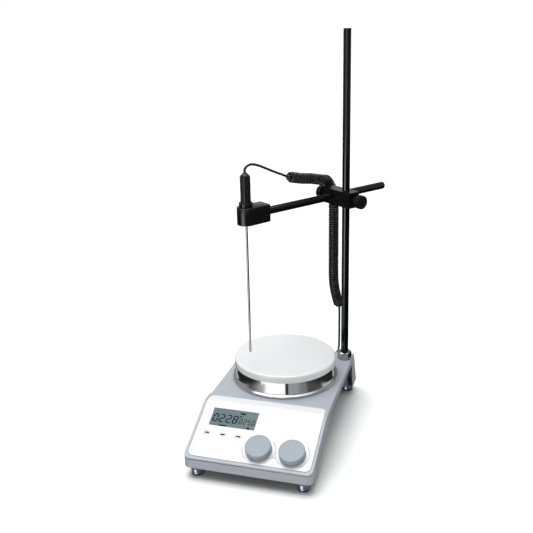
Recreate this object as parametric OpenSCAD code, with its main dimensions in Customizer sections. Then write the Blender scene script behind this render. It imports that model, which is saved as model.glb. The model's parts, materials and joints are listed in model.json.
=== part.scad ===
// Hotplate magnetic stirrer with a support rod, a clamped arm and a plug-in temperature sensor.
// Frame: +Z up, +Y to the rear, origin on the bench under the axis of the round plate.

/* [Housing] */
// Width of the control module at the front
body_w = 160; // [156:1:170]
// Distance from the plate's axis to the front face
front_reach = 175; // [172:1:185]
// Distance from the plate's axis to the foot of the rear wall
rear_reach = 105; // [100:1:110]
// Height of the flat deck above the bench
deck_z = 62; // [60:1:64]
// Height of the raised rim at the crest of the control panel
crest_z = 63.5; // [63:0.5:66]
// Height of the seam across the front face
seam_z = 26; // [24:1:28]
// Height of the housing's lower edge at the front
skirt_z = 14; // [13:0.5:16]
// Wall thickness of the cast housing
wall = 3; // [2:0.5:3.5]
// Radius of the front vertical corners
corner_r = 8; // [5:1:10]

/* [Control panel] */
// Horizontal run of the sloping panel, front face to crest
slope_run = 79.5; // [76:0.5:82]
// Depth of the flat part of the crest
crest_run = 19; // [17:1:21]
// Radius of the bend at the crest
crest_round = 12; // [6:1:16]
// Thickness of the bezel
bezel_t = 4.5; // [4:0.5:5]
// Thickness of the white overlay
overlay_t = 0.8; // [0.5:0.1:1]
// Width of the display window
display_w = 59; // [50:1:62]
// Height of the display window
display_h = 26.5; // [22:0.5:28]
// Diameter of the control knobs
knob_d = 32; // [24:1:34]
// Height of the control knobs
knob_h = 8; // [7:1:14]
// Travel of the three keys
key_travel = 0.4; // [0.2:0.1:0.5]

/* [Heating plate] */
// Diameter of the round plate
plate_d = 135; // [125:1:140]
// Height of the plate's top above the bench
plate_top = 92; // [90:1:95]
// Thickness of the plate
plate_t = 10; // [8:1:11]

/* [Support rod and arm] */
// Diameter of both rods
rod_d = 10; // [8:0.5:11]
// Height of the rod's upper end above the bench
rod_top = 509; // [450:1:520]
// Height of the arm above the bench
arm_z = 293; // [285:1:300]
// Direction of the arm, from +X
arm_angle = 54; // [50:1:58]
// Distance between the axes of the two rods
rod_offset = 19.5; // [18:0.5:21]
// Distance along the arm from the rod to the sensor's axis
sensor_reach = 148; // [140:1:155]
// Distance that the cross rod stands past the support rod
rod_tail = 87; // [60:1:90]
// Height of the sensor's tip above the bench
tip_z = 108; // [100:1:150]

/* [Hidden] */
$fn = 64;

// Colours
shell_grey = "#c3cad0";
slate = "#56606a";
knob_grey = "#bac3cd";
black = "#1b1c20";
steel = "#b9bcc0";

// Control panel: the sloping plane starts this far above the bench at the front face
slope_z = seam_z + 1.5;
slope_angle = atan2(crest_z - slope_z, slope_run);
slope_len = norm([crest_z - slope_z, slope_run]);
crest_y = slope_run - front_reach;
bezel_y = crest_y + crest_run;
overlay_edge = 4.6;
overlay_r = 7;
display_at = [-33.6, 63.8];
heat_at = [9, 25];
speed_at = [50.5, 25];
key_at = [[-61, 39], [-41, 39], [-21, 39]];
key_size = [9, 5];
key_gap = 0.2;
key_stem_z = 3.6;
light_at = [29.5, 17];
board_depth = 14;
board_t = 1.6;
power_board_z = 19;
encoder_body = 12.5;
shaft_r = 3;
shaft_fit = 0.05;
bush_r = 4.5;

// Housing
rear_deck_y = rear_reach - 20;
rear_deck_w = body_w - 4.8;
rear_foot_z = 12;
rear_lean = atan2(rear_reach - rear_deck_y, deck_z - rear_foot_z);
side_in = 10;
keel_w = 94;
keel_end = 72;
case_t = 2.5;
deck_band = 10.5;
slope_band = 19;
foot_x = 66.5;
foot_y = [13 - front_reach, rear_reach - 10];
foot_r = 7.8;
cover_z = 11.5;
cover_t = 2.5;
cover_y = [4 - front_reach, rear_reach - 5.5];
cover_screw_at = [[-41, -60], [41, -60], [-41, 40], [41, 40]];
lug_r = 4;
cover_screw_r = 1.5;

// Rear panel, measured up the leaning wall from its foot and sideways from the middle
rear_panel_w = 130;
rear_panel_h = 36;
rear_panel_t = 1.5;
rear_mid = 26;
inlet_x = -42;
rocker_x = -2;
socket_x = 45;
socket_z = 30;
socket_up = (socket_z - rear_foot_z) / cos(rear_lean);
inlet_size = [27, 19];
inlet_depth = 17;
drawer_size = [22, 5.4];
drawer_drop = 15;
rocker_rest = -10;
rocker_half = 8;

// Plate and drive
plate_r = plate_d / 2;
plate_z = plate_top - plate_t;
deck_hole_r = 46;
pillar_ring = 56;
pillar_r = 3.5;
magnet_z = 66;
motor_r = 26;
motor_z = 24;
bearing_r = 8;
bearing_t = 5;
drive_r = 3;

// Rod and arm
rod_at = [67, 70];
rod_r = rod_d / 2;
rod_fit = 0.05;
nut_af = 17;
nut_h = 8;
washer_r = 10;
washer_t = 2;
boss_half = [8.75, 10.3];
boss_reach = [-15.5, 35];
screw_r = 2.5;
thumb_r = 9;
thumb_t = 8;
neck_r = 4.5;
neck_t = 8;
clamp_w = 23;
clamp_half_h = 11.2;
clamp_back = 30;
grip = 12;
probe_r = 1.5;
collar_r = 8.6;
collar_t = 5.6;
handle_af = 12.4;
handle_z = 342.5;
handle_top = 347;

// Cord of the sensor: straight lead, curly stretch in two tubes, straight tail
cord_d = 2.8;
coil_d = 14.5;
lead_route = [[-35.8, -38.3, 347], [-35.8, -38.3, 351], [-33.5, -35, 354.5], [-29.5, -29.5, 355.5],
    [-23.5, -21.5, 352.5], [-16.5, -12, 347], [-9, -2, 341], [-2.5, 7, 336], [3, 15, 331.5]];
coil_top_route = [[3.3, 15.4, 328.9], [15, 32.5, 326], [24.5, 46, 323], [32.5, 60.8, 318.8],
    [32.9, 77.5, 314.2], [31.6, 92.7, 311], [32.8, 105.4, 307.6], [35.7, 112.8, 300.6], [39.3, 113.6, 292],
    [41.4, 112, 284], [41.6, 111.6, 277], [41.6, 111.6, 270]];
coil_drop_route = [[41.6, 111.6, 269.4], [41.6, 111.6, 245], [41.6, 111.6, 220], [41.6, 111.6, 195],
    [41.6, 111.6, 175], [42, 112, 160], [43.5, 113.5, 146], [46, 116, 132], [49, 118.5, 119]];
tail_route = [[49, 118.7, 118.2], [48.5, 121.5, 106], [47.5, 126, 91], [46.5, 131, 76], [45.5, 135.5, 63],
    [45, 137.5, 54], [45, 136.5, 48], [45, 133, 44.5], [45, 127.7, 42]];

// ---------- Helpers ----------

// Box with rounded vertical corners, centred on X and Y, standing on z = 0
module rounded_box(w, d, h, r) {
    translate([-w / 2 + r, -d / 2, 0]) cube([w - 2 * r, d, h]);
    translate([-w / 2, -d / 2 + r, 0]) cube([w, d - 2 * r, h]);
    for (sx = [-1, 1], sy = [-1, 1])
        translate([sx * (w / 2 - r), sy * (d / 2 - r), 0]) cylinder(r = r, h = h);
}

// Side outline in the YZ plane, extruded over X from x0 to x1
module side_profile(points, x0, x1) {
    translate([x0, 0, 0]) rotate([90, 0, 90]) linear_extrude(x1 - x0) polygon(points);
}

// Places children on the sloping panel: X across, Y up the slope, Z out of it
module on_slope(at = [0, 0], out = 0) {
    translate([0, -front_reach, slope_z]) rotate([slope_angle, 0, 0]) translate([at[0], at[1], out]) children();
}

// Places children on the rear wall, seen from behind: X to the right, Y up the wall, Z out of it
module on_rear(x, up, out = 0) {
    translate([0, rear_reach, rear_foot_z]) rotate([rear_lean, 0, 0]) rotate([90, 0, 180])
        translate([-x, up, out]) children();
}

// Places children on the arm: X along it away from the sensor, Y to its left, Z up
module on_arm(x = 0, y = 0, z = 0) {
    translate([rod_at[0], rod_at[1], arm_z]) rotate([0, 0, arm_angle]) translate([x, y, z]) children();
}

// Points of a smooth curve through the route: a Catmull-Rom span between each pair of points
function span_point(a, b, c, d, t) = 0.5 * (2 * b + (c - a) * t + (2 * a - 5 * b + 4 * c - d) * t * t
    + (3 * b - a - 3 * c + d) * t * t * t);
function before(p, i) = i == 0 ? 2 * p[0] - p[1] : p[i - 1];
function after(p, i) = i < len(p) ? p[i] : 2 * p[i - 1] - p[i - 2];
function smooth(p, n) = [for (i = [0:len(p) - 2], k = [0:n - 1])
    span_point(before(p, i), p[i], p[i + 1], after(p, i + 2), k / n)];
function with_end(p, n) = concat(smooth(p, n), [p[len(p) - 1]]);

// Direction of the curve at each point, and a sideways direction carried along it without twist
function unit(v) = v / norm(v);
function heading(p, i) = unit(p[min(i + 1, len(p) - 1)] - p[max(i - 1, 0)]);
function square_to(v, t) = unit(v - (v * t) * t);
function sides(p, i, found) = i == len(p) ? found
    : sides(p, i + 1, concat(found, [square_to(found[len(found) - 1], heading(p, i))]));
function ring(c, t, s, r, n) = [for (k = [0:n - 1]) c + r * (cos(360 * k / n) * s + sin(360 * k / n) * cross(t, s))];

// Tube of one diameter along a route
module tube(route, d, spans, n) {
    p = with_end(route, spans);
    first = square_to([0.31, -0.77, 0.55], heading(p, 0));
    s = sides(p, 1, [first]);
    m = len(p);
    points = [for (i = [0:m - 1]) each ring(p[i], heading(p, i), s[i], d / 2, n)];
    walls = [for (i = [0:m - 2], k = [0:n - 1])
        [i * n + k, i * n + (k + 1) % n, (i + 1) * n + (k + 1) % n, (i + 1) * n + k]];
    ends = [[for (k = [n - 1:-1:0]) k], [for (k = [0:n - 1]) (m - 1) * n + k]];
    polyhedron(points, [for (f = concat(walls, ends)) [for (k = [len(f) - 1:-1:0]) f[k]]]);
}

// ---------- Housing ----------

// Plan of the housing: rounded at the front, tapering a little towards the rear
module plan(h) {
    x = body_w / 2;
    xr = rear_deck_w / 2;
    yf = -front_reach;
    r = corner_r;
    linear_extrude(h) polygon([[-x + r, yf], [x - r, yf], [x - r, yf + r], [x, yf + r], [x, bezel_y],
        [x - 1, bezel_y], [xr, rear_reach], [-xr, rear_reach], [1 - x, bezel_y], [-x, bezel_y],
        [-x, yf + r], [r - x, yf + r]]);
    for (sx = [-1, 1]) translate([sx * (x - r), yf + r, 0]) cylinder(r = r, h = h);
}

module housing() color(shell_grey) {
    under = deck_z - wall;
    side = body_w / 2 - wall;
    lean = [rear_reach - rear_deck_y, rear_foot_z - deck_z];
    difference() {
        intersection() {
            plan(crest_z);
            side_profile([[-front_reach, skirt_z], [-front_reach, seam_z], [-front_reach + wall, seam_z],
                [crest_y + 1, crest_z - bezel_t - 0.6], [bezel_y, crest_z - bezel_t - 0.6], [bezel_y, deck_z],
                [rear_deck_y, deck_z], [rear_reach, rear_foot_z], [rear_reach - 22, rear_foot_z]],
                -body_w, body_w);
        }
        // Room inside, open upwards under the bezel
        side_profile([[-front_reach + wall, 0], [-front_reach + wall, crest_z + 1], [bezel_y - 1, crest_z + 1],
            [bezel_y - 1, under], [rear_deck_y - wall, under],
            [rear_deck_y - wall + lean[0], under + lean[1]], [rear_deck_y + lean[0], 0]], -side + 1, side - 1);
        // Sides cut away under the band, down to the legs
        side_profile([[-front_reach + 24, 0], [-front_reach + 24, skirt_z], [crest_y, crest_z - slope_band],
            [crest_y + 30, deck_z - deck_band], [rear_deck_y - 11, deck_z - deck_band],
            [rear_deck_y - 3, 0]], -body_w, body_w);
        translate([0, 0, under - 1]) cylinder(r = deck_hole_r, h = wall + 2);
        translate([rod_at[0], rod_at[1], under - 1]) cylinder(r = rod_r + rod_fit, h = wall + 2);
        on_rear(0, rear_mid, -rear_panel_t) translate([-rear_panel_w / 2, -rear_panel_h / 2, 0])
            cube([rear_panel_w, rear_panel_h, 10]);
        on_rear(0, rear_mid, -10) translate([-rear_panel_w / 2 + 4, -rear_panel_h / 2 + 3, 0])
            cube([rear_panel_w - 8, rear_panel_h - 6, 20]);
    }
}

// Bar along Y whose section is a keel: narrow at the bottom cover and wide under the deck
module keel(inset, y0, y1) {
    low = keel_w / 2 - inset;
    high = body_w / 2 - side_in - inset;
    floor_z = cover_z + cover_t;
    side_z = deck_z - wall;
    translate([0, y1, 0]) rotate([90, 0, 0]) linear_extrude(y1 - y0)
        polygon([[-low, floor_z - 1], [low, floor_z - 1], [low, floor_z], [high, side_z], [high, side_z + 1],
            [-high, side_z + 1], [-high, side_z], [-low, floor_z]]);
}

module lower_case() color(slate) {
    out = body_w / 2 - side_in;
    floor_z = cover_z + cover_t;
    outline = [[-front_reach + 10, floor_z], [crest_y + 4, crest_z - slope_band - 9],
        [crest_y + 34, deck_z - wall], [rear_deck_y - 6, deck_z - wall], [rear_deck_y + 7, floor_z]];
    difference() {
        union() {
            difference() {
                intersection() {
                    side_profile(outline, -out, out);
                    union() {
                        keel(0, -front_reach, rear_reach);
                        translate([-out, keel_end, 0]) cube([2 * out, rear_reach, deck_z]);
                    }
                }
                keel(case_t, -front_reach + 30, rear_reach);
                translate([case_t - out, keel_end + case_t, 0]) cube([2 * (out - case_t), rear_reach, deck_z]);
            }
            // Lugs on the walls take the screws of the bottom cover
            for (at = cover_screw_at) translate([at[0], at[1], floor_z]) cylinder(r = lug_r, h = 10);
        }
        for (at = cover_screw_at) translate([at[0], at[1], floor_z - 1]) cylinder(r = cover_screw_r + 0.05, h = 9);
        translate([rod_at[0], rod_at[1], deck_z - 16]) cylinder(r = rod_r + 1.5, h = 20);
    }
}

module bottom_cover() color(slate) difference() {
    union() {
        translate([0, (cover_y[0] + cover_y[1]) / 2, cover_z])
            rounded_box(keel_w, cover_y[1] - cover_y[0], cover_t, 4);
        for (ends = [[cover_y[0], -front_reach + 25], [keel_end + 7, cover_y[1]]])
            translate([0, (ends[0] + ends[1]) / 2, cover_z])
                rounded_box(body_w - 12, ends[1] - ends[0], cover_t, 4);
    }
    for (sx = [-1, 1], y = foot_y) translate([sx * foot_x, y, cover_z - 1]) cylinder(r = 2.2, h = cover_t + 2);
    for (x = [-32:8:32]) translate([x, -60, cover_z - 1]) rounded_box(3, 40, cover_t + 2, 1.4);
    for (at = cover_screw_at) translate([at[0], at[1], cover_z - 1]) cylinder(r = cover_screw_r + 0.1, h = cover_t + 2);
}

module cover_screws() color(steel) for (at = cover_screw_at) translate([at[0], at[1], cover_z]) {
    translate([0, 0, -1.5]) cylinder(r = 3, h = 1.5);
    cylinder(r = cover_screw_r, h = cover_t + 8);
}

module each_foot() for (sx = [-1, 1], y = foot_y) translate([sx * foot_x, y, 0]) children();

module feet() color("#8fa0b4") each_foot() difference() {
    union() {
        translate([0, 0, 2]) cylinder(r = foot_r, h = 7.7);
        translate([0, 0, 9.7]) cylinder(r = foot_r - 2.5, h = cover_z - 9.7);
    }
    translate([0, 0, 1]) cylinder(r = 2.2, h = 12);
    translate([0, 0, 1]) cylinder(r = 4, h = 4);
}

module foot_pads() color("#2b2d31") each_foot() difference() {
    cylinder(r = foot_r - 0.6, h = 2);
    translate([0, 0, -1]) cylinder(r = 4, h = 4);
}

module foot_screws() color(steel) each_foot() {
    translate([0, 0, 1.5]) cylinder(r = 3.7, h = 3.5);
    translate([0, 0, 5]) cylinder(r = 2, h = cover_z + cover_t - 5);
}

// ---------- Control panel ----------

// Room for the controls, cut through the bezel and the overlay
module control_cuts() {
    on_slope(display_at, -10) translate([-display_w / 2, -display_h / 2, 0]) cube([display_w, display_h, 20]);
    for (at = [heat_at, speed_at]) on_slope(at, -10) cylinder(r = bush_r, h = 20);
    for (at = key_at) on_slope(at, -10) rounded_box(key_size[0] + 2 * key_gap, key_size[1] + 2 * key_gap, 20, 1.2);
    on_slope(light_at, -10) rounded_box(4.4, 1.6, 20, 0.7);
}

// Outline of the overlay, grown by an allowance, as a block through the panel
module overlay_block(grow) {
    w = body_w - 2 * (overlay_edge - 0.6) + 2 * grow;
    y0 = overlay_edge - grow;
    slope_part = slope_len - y0 + 20;
    intersection() {
        on_slope([0, y0 + slope_part / 2], -40) rounded_box(w, slope_part, 80, overlay_r);
        translate([0, (bezel_y - overlay_edge - 1 + grow - front_reach - 20) / 2, 0])
            rounded_box(w, bezel_y - overlay_edge - 1 + grow + front_reach + 20, 90, overlay_r);
    }
}

// Line of the panel in the YZ plane, front to rear, sunk by a drop: slope, round bend, flat
function panel_line(drop) = concat([[-front_reach, slope_z - drop / cos(slope_angle)]],
    [for (k = [8:-1:0]) let (a = slope_angle * k / 8) [crest_y + crest_round * tan(slope_angle / 2)
        - (crest_round - drop) * sin(a), crest_z - crest_round + (crest_round - drop) * cos(a)]],
    [[bezel_y, crest_z - drop]]);

module bezel() color(shell_grey) difference() {
    intersection() {
        plan(crest_z + 1);
        side_profile(concat([[-front_reach, seam_z]], panel_line(0), [[bezel_y, crest_z - bezel_t - 0.6],
            [crest_y + 1, crest_z - bezel_t - 0.6], [-front_reach + wall, seam_z]]), -body_w, body_w);
    }
    intersection() {
        overlay_block(0.1);
        side_profile(concat(panel_line(overlay_t), [[bezel_y, crest_z + 5], [-front_reach, crest_z + 5]]),
            -body_w, body_w);
    }
    control_cuts();
}

module overlay() color("#fafbfb") difference() {
    intersection() {
        overlay_block(0);
        side_profile(concat(panel_line(overlay_t), [for (k = [10:-1:0]) panel_line(0)[k]]), -body_w, body_w);
    }
    control_cuts();
}

module display_window() color("#7d9190") on_slope(display_at, -bezel_t)
    translate([-display_w / 2 + 0.1, -display_h / 2 + 0.1, 0.6]) cube([display_w - 0.2, display_h - 0.2, bezel_t - 0.9]);

module display_module() color("#3d5a4a") on_slope(display_at, -bezel_t - 5.4)
    translate([-display_w / 2 - 3, -display_h / 2 - 3, 0]) cube([display_w + 6, display_h + 6, 5]);

module control_board() color("#2f6b45") on_slope([0, 45], -board_depth)
    translate([-70, -36, 0]) cube([140, 68, board_t]);

module key_switches() color(black) for (at = key_at) on_slope(at, -board_depth + board_t) {
    translate([-3, -3, 0]) cube([6, 6, 3.5]);
    cylinder(r = 1.7, h = board_depth - board_t - key_stem_z - key_travel);
}

module encoder(at) color(steel) on_slope(at, 0) difference() {
    union() {
        translate([-encoder_body / 2, -encoder_body / 2, -board_depth + board_t]) cube([encoder_body, encoder_body, 6.5]);
        translate([0, 0, -board_depth + 8]) cylinder(r = bush_r - 0.3, h = board_depth - 7);
    }
    translate([0, 0, -board_depth + 4]) cylinder(r = shaft_r + shaft_fit, h = 20);
}

module heat_encoder() encoder(heat_at);

module speed_encoder() encoder(speed_at);

module encoder_shaft(at) color(steel) on_slope(at, -board_depth + 4.3) cylinder(r = shaft_r, h = board_depth + 1.7);

module heat_shaft() encoder_shaft(heat_at);

module speed_shaft() encoder_shaft(speed_at);

// Knob: a domed cap that tapers a little, hollow around the bush, with a bore for the shaft
module knob(at) color(knob_grey) on_slope(at, 0.6) difference() {
    r = knob_d / 2;
    rotate_extrude() polygon([[0, 0], [r, 0], [r - 0.3, knob_h - 1.6], [r - 0.9, knob_h - 0.5],
        [r - 2.2, knob_h], [r - 3.2, knob_h - 0.1], [0, knob_h - 0.5]]);
    translate([0, 0, -1]) cylinder(r = bush_r + 0.6, h = 2.5);
    translate([0, 0, -1]) cylinder(r = shaft_r, h = 6.4);
}

module heat_knob() knob(heat_at);

module speed_knob() knob(speed_at);

// Key: a flat pad just proud of the overlay with a raised bar across it and a stem to its switch
module key(at) color("#f4f5f6") on_slope(at, 0) {
    translate([0, 0, -1.2]) rounded_box(key_size[0], key_size[1], 1.3, 1);
    translate([0, 0, -key_stem_z + 0.05]) cylinder(r = 1.5, h = 2.5);
    translate([-2.4, -0.6, 0.1]) cube([4.8, 1.2, 0.15]);
}

module key_left() key(key_at[0]);

module key_middle() key(key_at[1]);

module key_right() key(key_at[2]);

module status_light() color("#c9cdd1") on_slope(light_at, -5) rounded_box(4, 1.2, 5, 0.55);

// ---------- Rear wall ----------

module rear_panel() color("#4a525a") difference() {
    on_rear(0, rear_mid, -rear_panel_t) translate([-rear_panel_w / 2 + 0.1, -rear_panel_h / 2 + 0.1, 0])
        cube([rear_panel_w - 0.2, rear_panel_h - 0.2, rear_panel_t]);
    on_rear(inlet_x, rear_mid, -8) translate([-inlet_size[0] / 2, -drawer_drop, 0])
        cube([inlet_size[0], inlet_size[1] / 2 + drawer_drop + 2.5, 20]);
    on_rear(rocker_x, rear_mid, -8) translate([-10, -7, 0]) cube([20, 14, 20]);
    on_rear(socket_x, socket_up, -8) cylinder(r = 6.1, h = 20);
}

// Mains inlet: flange, shell with a keyed cavity for the plug, and a slot below it for the fuse drawer
module power_inlet() color(black) on_rear(inlet_x, rear_mid, 0) difference() {
    w = inlet_size[0];
    h = inlet_size[1];
    union() {
        translate([0, -2, 0]) rounded_box(w + 5, h + 16, 2, 2);
        translate([-w / 2 + 0.1, -drawer_drop + 0.1, -inlet_depth]) cube([w - 0.2, h / 2 + drawer_drop + 2.3, inlet_depth]);
    }
    translate([0, 2.3, -inlet_depth + 1.5]) linear_extrude(inlet_depth + 2)
        polygon([[-11.8, -7.6], [11.8, -7.6], [11.8, 4], [8.2, 7.6], [-8.2, 7.6], [-11.8, 4]]);
    translate([-drawer_size[0] / 2 - 0.3, -drawer_drop + 1.2, -15]) cube([drawer_size[0] + 0.6, drawer_size[1] + 0.6, 30]);
}

module inlet_pins() color(steel) on_rear(inlet_x, rear_mid, -inlet_depth - 4) {
    for (x = [-7, 7]) translate([x - 1, -1.2, 0]) cube([2, 4, inlet_depth - 2.5]);
    translate([-1, 2.5, 0]) cube([2, 4, inlet_depth - 2.5]);
}

module fuse_drawer() color("#2b2d31") on_rear(inlet_x, rear_mid, 0) {
    w = drawer_size[0];
    h = drawer_size[1];
    translate([-w / 2, -drawer_drop + 1.5, -14.5]) cube([w, h, 16.6]);
    translate([-w / 2 - 1, -drawer_drop + 0.8, 2.1]) cube([w + 2, h + 1.4, 1.6]);
}

module rocker_frame() color(black) on_rear(rocker_x, rear_mid, 0) difference() {
    union() {
        rounded_box(23, 17, 2, 1.5);
        translate([-9.9, -6.9, -14]) cube([19.8, 13.8, 14]);
    }
    translate([-rocker_half - 0.8, -5.4, -8]) cube([2 * rocker_half + 1.6, 10.8, 20]);
    translate([0, 7.5, -2]) rotate([90, 0, 0]) cylinder(r = 1.3, h = 15);
}

// Rocker: a shallow V with round ends, so that it clears the frame as it tips about its pin
module power_rocker() color("#26282c") on_rear(rocker_x, rear_mid, -2) rotate([0, rocker_rest, 0]) {
    intersection() {
        rotate([90, 0, 0]) translate([0, 0, -5.1]) linear_extrude(10.2)
            polygon([[-9, -4], [9, -4], [9, 6.2], [0, 4.2], [-9, 6.2]]);
        rotate([90, 0, 0]) translate([0, 0, -6]) cylinder(r = rocker_half + 0.4, h = 12);
    }
    rotate([90, 0, 0]) translate([0, 0, -6.6]) cylinder(r = 1.25, h = 13.2);
}

module sensor_socket() color("#9fa4a8") on_rear(socket_x, socket_up, 0) difference() {
    union() {
        cylinder(r = 8, h = 2);
        translate([0, 0, -12]) cylinder(r = 6, h = 12.5);
    }
    translate([0, 0, -9]) cylinder(r = 4.4, h = 20);
}

module sensor_plug() color(black) on_rear(socket_x, socket_up, 0) {
    translate([0, 0, -8]) cylinder(r = 4.3, h = 10.2);
    translate([0, 0, 2.2]) cylinder(r = 5, h = 18);
    translate([0, 0, 20.2]) cylinder(r1 = 4.2, r2 = 2.2, h = 11.8);
}

// ---------- Electronics ----------

module power_board() color("#2f6b45") translate([-43, -104, power_board_z]) cube([86, 38, board_t]);

module power_supply() color("#3a3d42") {
    top = power_board_z + board_t;
    translate([-41, -102, top]) cube([32, 34, 20]);
    translate([-6, -102, top]) cube([18, 30, 12]);
    for (x = [20, 34]) translate([x, -85, top]) cylinder(r = 6, h = 18);
}

module board_pillars() color(steel) for (x = [-39, 39], y = [-100, -70])
    translate([x, y, cover_z + cover_t]) cylinder(r = 2.5, h = power_board_z - cover_z - cover_t);

// ---------- Drive ----------

module motor_bracket() color(steel) difference() {
    translate([0, 0, deck_z - wall - 3]) cylinder(r = 58, h = 3);
    translate([0, 0, deck_z - wall - 4]) cylinder(r = 12, h = 5);
    for (a = [0:120:240]) rotate(a + 30) translate([40, 0, deck_z - wall - 4]) cylinder(r = 6, h = 5);
}

module motor_housing() color("#6d7277") difference() {
    translate([0, 0, motor_z]) cylinder(r = motor_r, h = deck_z - wall - 3 - motor_z);
    translate([0, 0, motor_z + 2]) cylinder(r = bearing_r, h = 40);
}

module motor_bearings() color(steel) for (z = [motor_z + 2, deck_z - wall - 3 - bearing_t])
    translate([0, 0, z]) difference() {
        cylinder(r = bearing_r, h = bearing_t);
        translate([0, 0, -1]) cylinder(r = drive_r + 0.03, h = bearing_t + 2);
    }

module motor_shaft() color(steel) {
    translate([0, 0, motor_z + 2.5]) cylinder(r = drive_r, h = magnet_z + 5 - motor_z - 2.5);
    translate([0, 0, motor_z + bearing_t + 3]) cylinder(r = bearing_r - 0.8, h = 12);
}

module magnet_carrier() color("#8d9297") translate([0, 0, magnet_z]) difference() {
    union() {
        intersection() {
            cylinder(r = 36, h = 4);
            translate([-40, -12, 0]) cube([80, 24, 4]);
        }
        translate([0, 0, -3]) cylinder(r = 7, h = 7);
    }
    translate([0, 0, -4]) cylinder(r = drive_r, h = 9);
}

module drive_magnets() color("#5b5f63") for (sx = [-1, 1])
    translate([sx * 24, 0, magnet_z + 4]) cylinder(r = 9, h = 5);

// ---------- Heating plate ----------

// Polished ring: a wall that leans in under the plate, and a rolled lip that stands on the deck
module plate_skirt() color("#d8d9da") rotate_extrude($fn = 96) {
    polygon([[63, plate_z], [64.2, plate_z], [66.6, deck_z + 3.6], [68.9, deck_z + 3.2], [68.9, deck_z + 0.1],
        [67.8, deck_z], [67.4, deck_z + 2], [65.4, deck_z + 3]]);
    translate([69.2, deck_z + 1.8]) circle(r = 1.8, $fn = 32);
}

module plate_pillars() color("#e6e4dc") for (a = [0:120:240]) rotate(a + 90)
    translate([pillar_ring, 0, deck_z]) cylinder(r = pillar_r, h = plate_z - deck_z);

// Sheet under the plate with room for the pillars
module pillar_sheet(r, inner, z, t) difference() {
    translate([0, 0, z]) cylinder(r = r, h = t);
    if (inner > 0) translate([0, 0, z - 1]) cylinder(r = inner, h = t + 2);
    for (a = [0:120:240]) rotate(a + 90) translate([pillar_ring, 0, z - 1]) cylinder(r = pillar_r + 0.3, h = t + 2);
}

module insulation_disc() color("#dcd6c8") pillar_sheet(61, 0, plate_z - 5.6, 2.8);

module heater_ring() color("#a58f6a") pillar_sheet(60, 16, plate_z - 2.8, 2.8);

module heating_plate() color("#f7f7f5") rotate_extrude($fn = 96) {
    r = plate_r;
    e = 3;
    polygon([[0, plate_z], [r - 0.8, plate_z], [r, plate_z + 0.8], [r, plate_top - e], [r - e, plate_top - e],
        [r - e, plate_top], [0, plate_top]]);
    translate([r - e, plate_top - e]) intersection() {
        circle(r = e, $fn = 32);
        square(e);
    }
}

// ---------- Support rod and arm ----------

module rod_washer() color("#8f979d") translate([rod_at[0], rod_at[1], deck_z]) difference() {
    cylinder(r = washer_r, h = washer_t);
    translate([0, 0, -1]) cylinder(r = rod_r + rod_fit, h = washer_t + 2);
}

module rod_nut() color(steel) translate([rod_at[0], rod_at[1], deck_z + washer_t]) difference() {
    intersection() {
        rotate(12) cylinder(r = nut_af / sqrt(3), h = nut_h, $fn = 6);
        translate([0, 0, -4]) cylinder(r1 = nut_af * 0.9, r2 = nut_af * 0.49, h = nut_h + 4.6);
    }
    translate([0, 0, -1]) cylinder(r = rod_r + rod_fit, h = nut_h + 2);
}

module support_rod() color(black) translate([rod_at[0], rod_at[1], 0]) {
    foot = deck_z - 10;
    translate([0, 0, foot]) cylinder(r = rod_r, h = rod_top - 1.2 - foot);
    translate([0, 0, rod_top - 1.2]) cylinder(r1 = rod_r, r2 = rod_r - 1.2, h = 1.2);
}

module boss_head() color(black) on_arm() difference() {
    translate([-boss_half[0], boss_reach[0], -boss_half[1]])
        cube([2 * boss_half[0], boss_reach[1] - boss_reach[0], 2 * boss_half[1]]);
    cylinder(r = rod_r + rod_fit, h = 60, center = true);
    translate([0, rod_offset, 0]) rotate([0, 90, 0]) cylinder(r = rod_r + rod_fit, h = 60, center = true);
    translate([0, boss_reach[0] - 1, 0]) rotate([-90, 0, 0]) cylinder(r = screw_r + rod_fit, h = -boss_reach[0]);
    translate([0, rod_offset + 2, 0]) rotate([-90, 0, 0]) cylinder(r = screw_r + rod_fit, h = 20);
}

// Thumb screw along +Y from the origin: threaded stem, neck and a grooved head
module thumb_screw(stem) color(black) rotate([-90, 0, 0]) {
    cylinder(r = screw_r, h = stem + 1);
    translate([0, 0, stem + 0.3]) cylinder(r = neck_r, h = neck_t);
    translate([0, 0, stem + neck_t]) difference() {
        cylinder(r = thumb_r, h = thumb_t);
        for (a = [0:24:336]) rotate(a) translate([thumb_r + 0.5, 0, -1]) cylinder(r = 1, h = thumb_t + 2, $fn = 16);
    }
}

module rod_screw() on_arm() translate([0, -rod_r - 0.1, 0]) rotate([0, 0, 180])
    thumb_screw(-boss_reach[0] - rod_r - 0.1);

module arm_screw() on_arm() translate([0, rod_offset + rod_r + 0.1, 0])
    thumb_screw(boss_reach[1] - rod_offset - rod_r - 0.1);

module cross_rod() color(black) on_arm(0, rod_offset, 0) rotate([0, 90, 0]) {
    start = -sensor_reach + clamp_back - grip;
    translate([0, 0, start]) cylinder(r = rod_r, h = rod_tail - 1 - start);
    translate([0, 0, rod_tail - 1]) cylinder(r1 = rod_r, r2 = rod_r - 1, h = 1);
}

// Clamp: a block with a round nose around the sensor and a socket for the cross rod
module sensor_clamp() color(black) on_arm(-sensor_reach, rod_offset, 0) difference() {
    translate([0, 0, -clamp_half_h]) {
        cylinder(r = clamp_w / 2, h = 2 * clamp_half_h);
        translate([0, -clamp_w / 2, 0]) cube([clamp_back, clamp_w, 2 * clamp_half_h]);
    }
    cylinder(r = probe_r + 0.1, h = 60, center = true);
    translate([clamp_back - grip, 0, 0]) rotate([0, 90, 0]) cylinder(r = rod_r, h = 40);
}

// ---------- Temperature sensor ----------

module on_sensor(z) on_arm(-sensor_reach, rod_offset, z - arm_z) children();

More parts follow.
